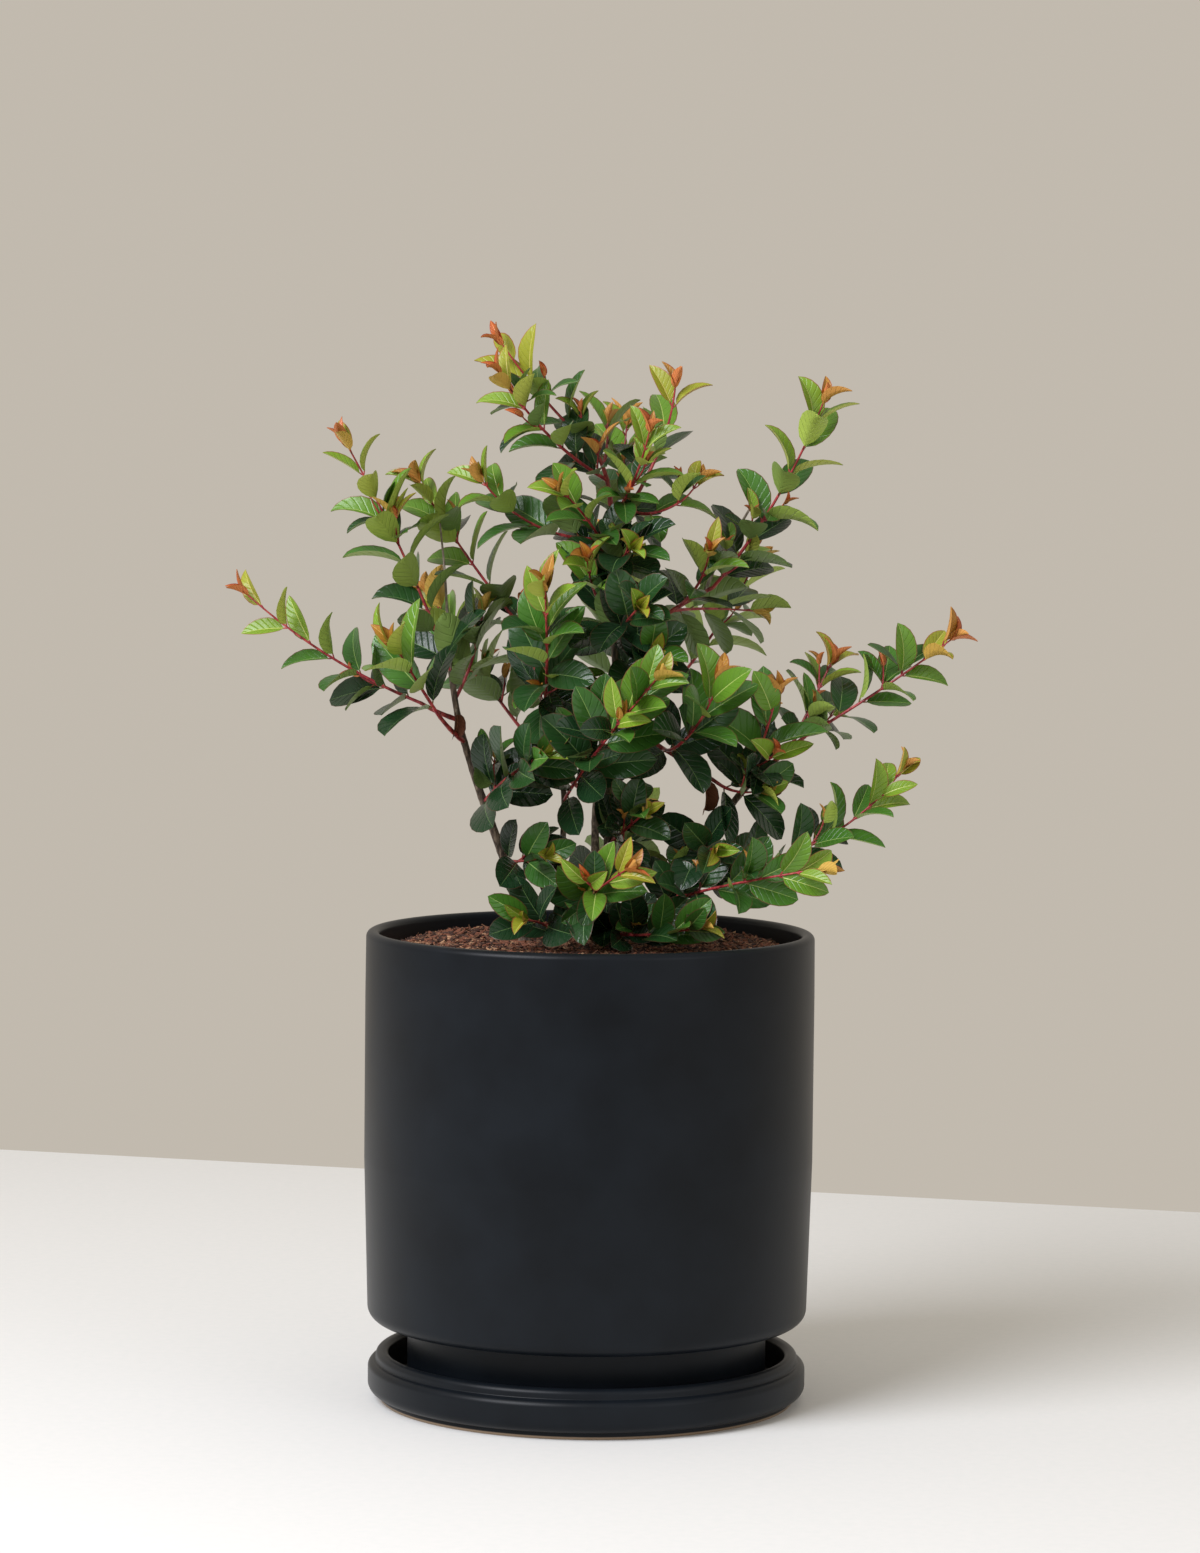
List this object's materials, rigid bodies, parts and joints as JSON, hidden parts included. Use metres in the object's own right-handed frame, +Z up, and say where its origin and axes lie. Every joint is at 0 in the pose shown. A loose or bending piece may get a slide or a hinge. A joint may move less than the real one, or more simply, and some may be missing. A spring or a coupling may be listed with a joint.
{
  "type": "potted crape myrtle",
  "caption": "Young multi-stemmed crape myrtle shrub in leaf, in a straight-sided glazed pot with a stepped-in foot, standing on its own saucer.",
  "frame": {"origin": "centre of the saucer's flat underside", "axes": "+Z up; +Y away from the viewer of the picture; +X to that viewer's right"},
  "size_m": [0.4277, 0.288, 0.6224],
  "materials": {
    "charcoal_glaze": "matte charcoal glaze",
    "bark_mix": "damp reddish-brown bark and coir mix",
    "grey_brown_bark": "grooved grey-brown bark",
    "red_bark": "smooth young red bark",
    "green_leaves": "glossy green leaves, bronze at the shoot tips"
  },
  "bodies": {
    "root": {"back_foliage": "green_leaves", "back_left_bough": "red_bark", "back_left_foliage": "green_leaves", "back_right_bough": "red_bark", "back_right_foliage": "green_leaves", "back_stem": "grey_brown_bark", "far_left_bough": "red_bark", "far_left_foliage": "green_leaves", "far_right_bough": "red_bark", "far_right_foliage": "green_leaves", "front_core_foliage": "green_leaves", "high_back_bough": "red_bark", "high_back_foliage": "green_leaves", "high_left_foliage": "green_leaves", "inner_left_bough": "red_bark", "inner_left_foliage": "green_leaves", "left_front_bough": "red_bark", "left_front_foliage": "green_leaves", "left_inner_foliage": "green_leaves", "left_stem": "grey_brown_bark", "low_back_foliage": "green_leaves", "low_front_foliage": "green_leaves", "low_left_foliage": "green_leaves", "low_left_middle_foliage": "green_leaves", "low_middle_foliage": "green_leaves", "low_right_foliage": "green_leaves", "low_right_front_foliage": "green_leaves", "lowest_right_foliage": "green_leaves", "main_stem": "grey_brown_bark", "mid_right_bough": "red_bark", "middle_core_foliage": "green_leaves", "middle_front_foliage": "green_leaves", "middle_red_foliage": "green_leaves", "middle_shoulder_foliage": "green_leaves", "pot": "charcoal_glaze", "potting_mix": "bark_mix", "right_back_high_foliage": "green_leaves", "right_big_leaf_foliage": "green_leaves", "right_front_foliage": "green_leaves", "right_high_foliage": "green_leaves", "right_light_foliage": "green_leaves", "right_middle_foliage": "green_leaves", "right_shoulder_foliage": "green_leaves", "right_stem": "grey_brown_bark", "right_top_bough": "red_bark", "right_top_foliage": "green_leaves", "saucer": "charcoal_glaze", "slim_stem": "grey_brown_bark", "soil_left_foliage": "green_leaves", "soil_right_foliage": "green_leaves", "top_left_bough": "red_bark", "top_left_foliage": "green_leaves", "top_left_sister_foliage": "green_leaves", "top_middle_foliage": "green_leaves", "top_middle_front_foliage": "green_leaves", "top_right_bough": "red_bark", "top_right_foliage": "green_leaves", "upper_core_foliage": "green_leaves", "upper_front_foliage": "green_leaves", "upper_left_foliage": "green_leaves"}
  },
  "joints": []
}
